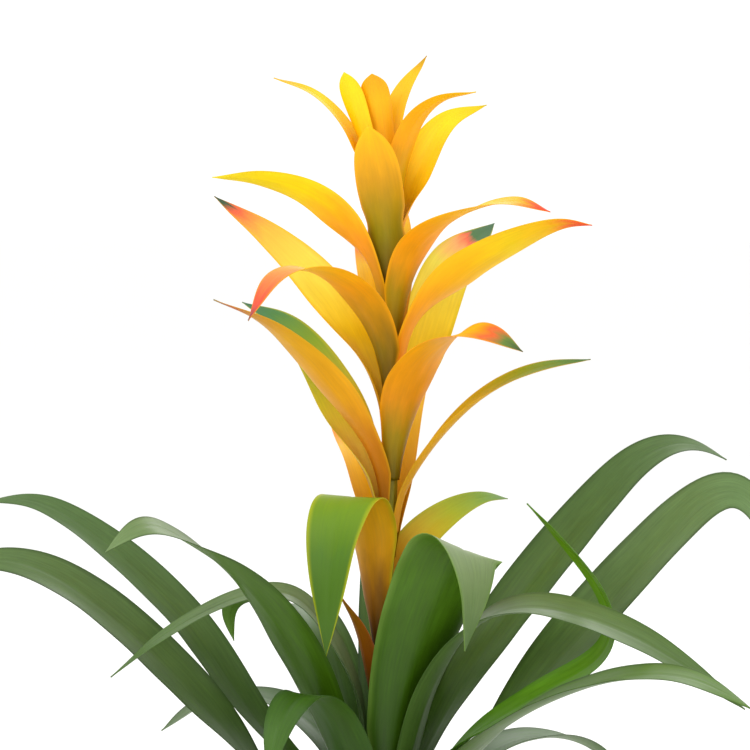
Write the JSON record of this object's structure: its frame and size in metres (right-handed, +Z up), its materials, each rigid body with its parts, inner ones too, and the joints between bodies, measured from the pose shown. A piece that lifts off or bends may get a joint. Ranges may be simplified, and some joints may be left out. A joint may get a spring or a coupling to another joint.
{
  "type": "potted bromeliad",
  "caption": "Flowering bromeliad: arching strap leaves and a tall spike of folded golden bracts with red and green tips, growing from soil in a plain clay pot.",
  "frame": {"origin": "middle of the pot's flat underside, on the surface it stands on", "axes": "+Z up along the pot's axis, +X to the right and +Y away as seen from the plant's show side"},
  "size_m": [0.4802, 0.434, 0.5984],
  "materials": {
    "terracotta": "matte",
    "potting_mix": "matte",
    "stem": "satin",
    "leaf": "satin",
    "bract": "satin"
  },
  "bodies": {
    "root": {"pot": "terracotta", "potting_mix": "potting_mix", "flower_stem": "stem", "leaf_01": "leaf", "leaf_02": "leaf", "leaf_03": "leaf", "leaf_04": "leaf", "leaf_05": "leaf", "leaf_06": "leaf", "leaf_07": "leaf", "leaf_08": "leaf", "leaf_09": "leaf", "leaf_10": "leaf", "leaf_11": "leaf", "leaf_12": "leaf", "leaf_13": "leaf", "leaf_14": "leaf", "leaf_15": "leaf", "leaf_16": "leaf", "leaf_17": "leaf", "leaf_18": "leaf", "bract_01": "bract", "bract_02": "bract", "bract_03": "bract", "bract_04": "bract", "bract_05": "bract", "bract_06": "bract", "bract_07": "bract", "bract_08": "bract", "bract_09": "bract", "bract_10": "bract", "bract_11": "bract", "bract_12": "bract", "bract_13": "bract", "bract_14": "bract", "bract_15": "bract", "bract_16": "bract", "bract_17": "bract", "bract_18": "bract", "bract_19": "bract", "bract_20": "bract", "bract_21": "bract", "bract_22": "bract", "bract_23": "bract", "bract_24": "bract", "bract_25": "bract", "bract_26": "bract", "bract_27": "bract", "bract_28": "bract"}
  },
  "joints": []
}
